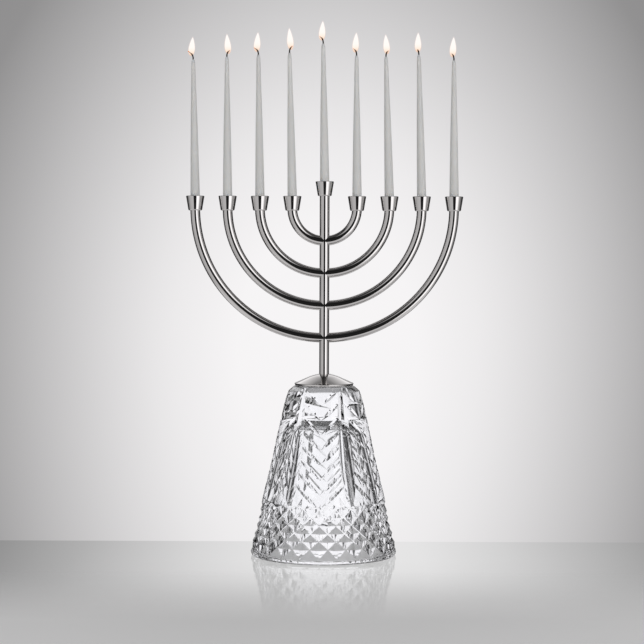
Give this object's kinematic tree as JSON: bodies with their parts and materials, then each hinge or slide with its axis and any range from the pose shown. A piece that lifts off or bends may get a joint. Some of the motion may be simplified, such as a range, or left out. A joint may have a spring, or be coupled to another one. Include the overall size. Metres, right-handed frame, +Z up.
{
  "type": "menorah",
  "caption": "Menorah with a hollow cut-crystal cone base, a metal stem, concentric U-shaped arms and conical cups holding lit tapered candles.",
  "frame": {"origin": "centre of the crystal's foot, on the surface it stands on", "axes": "+Z up the stem, +X along the row of candles, -Y towards the front"},
  "size_m": [0.2828, 0.1488, 0.5298],
  "materials": {
    "crystal": "clear polished cut crystal",
    "satin_metal": "fine satin polish, nickel grey",
    "plain_steel": "plain zinc-plated steel",
    "adhesive": "cured clear adhesive",
    "wax": "smooth white wax with a soft sheen",
    "charred_wick": "burnt cotton"
  },
  "bodies": {
    "candelabrum": {"crystal_base": "crystal", "arm_1": "satin_metal", "arm_2": "satin_metal", "arm_3": "satin_metal", "arm_4": "satin_metal", "stem_segment_1": "satin_metal", "stem_segment_2": "satin_metal", "stem_segment_3": "satin_metal", "stem_segment_4": "satin_metal", "stem_segment_5": "satin_metal", "candle_cup_1": "satin_metal", "candle_cup_2": "satin_metal", "candle_cup_3": "satin_metal", "candle_cup_4": "satin_metal", "candle_cup_5": "satin_metal", "candle_cup_6": "satin_metal", "candle_cup_7": "satin_metal", "candle_cup_8": "satin_metal", "candle_cup_9": "satin_metal", "base_cap": "satin_metal", "tie_rod": "plain_steel", "rod_washer": "plain_steel", "rod_nut": "plain_steel", "cap_mounting_disc": "plain_steel", "cup_screw_1": "plain_steel", "cup_screw_2": "plain_steel", "cup_screw_3": "plain_steel", "cup_screw_4": "plain_steel", "cup_screw_6": "plain_steel", "cup_screw_7": "plain_steel", "cup_screw_8": "plain_steel", "cup_screw_9": "plain_steel", "bond_pad": "adhesive"},
    "candle_1_body": {"candle_1": "wax", "wick_1": "charred_wick"},
    "candle_2_body": {"candle_2": "wax", "wick_2": "charred_wick"},
    "candle_3_body": {"candle_3": "wax", "wick_3": "charred_wick"},
    "candle_4_body": {"candle_4": "wax", "wick_4": "charred_wick"},
    "candle_5_body": {"candle_5": "wax", "wick_5": "charred_wick"},
    "candle_6_body": {"candle_6": "wax", "wick_6": "charred_wick"},
    "candle_7_body": {"candle_7": "wax", "wick_7": "charred_wick"},
    "candle_8_body": {"candle_8": "wax", "wick_8": "charred_wick"},
    "candle_9_body": {"candle_9": "wax", "wick_9": "charred_wick"}
  },
  "joints": [
    {"name": "candle_1_lift", "type": "slide", "parent": "candelabrum", "child": "candle_1_body", "axis": [-0.0157, 0, 0.9999], "range_m": [0, 0.03]},
    {"name": "candle_2_lift", "type": "slide", "parent": "candelabrum", "child": "candle_2_body", "axis": [-0.007, 0, 1], "range_m": [0, 0.03]},
    {"name": "candle_3_lift", "type": "slide", "parent": "candelabrum", "child": "candle_3_body", "axis": [-0.0131, 0, 0.9999], "range_m": [0, 0.03]},
    {"name": "candle_4_lift", "type": "slide", "parent": "candelabrum", "child": "candle_4_body", "axis": [-0.0218, 0, 0.9998], "range_m": [0, 0.03]},
    {"name": "candle_5_lift", "type": "slide", "parent": "candelabrum", "child": "candle_5_body", "axis": [-0.014, 0, 0.9999], "range_m": [0, 0.03]},
    {"name": "candle_6_lift", "type": "slide", "parent": "candelabrum", "child": "candle_6_body", "axis": [-0.007, 0, 1], "range_m": [0, 0.03]},
    {"name": "candle_7_lift", "type": "slide", "parent": "candelabrum", "child": "candle_7_body", "axis": [-0.0279, 0, 0.9996], "range_m": [0, 0.03]},
    {"name": "candle_8_lift", "type": "slide", "parent": "candelabrum", "child": "candle_8_body", "axis": [-0.0253, 0, 0.9997], "range_m": [0, 0.03]},
    {"name": "candle_9_lift", "type": "slide", "parent": "candelabrum", "child": "candle_9_body", "axis": [-0.007, 0, 1], "range_m": [0, 0.03]}
  ]
}
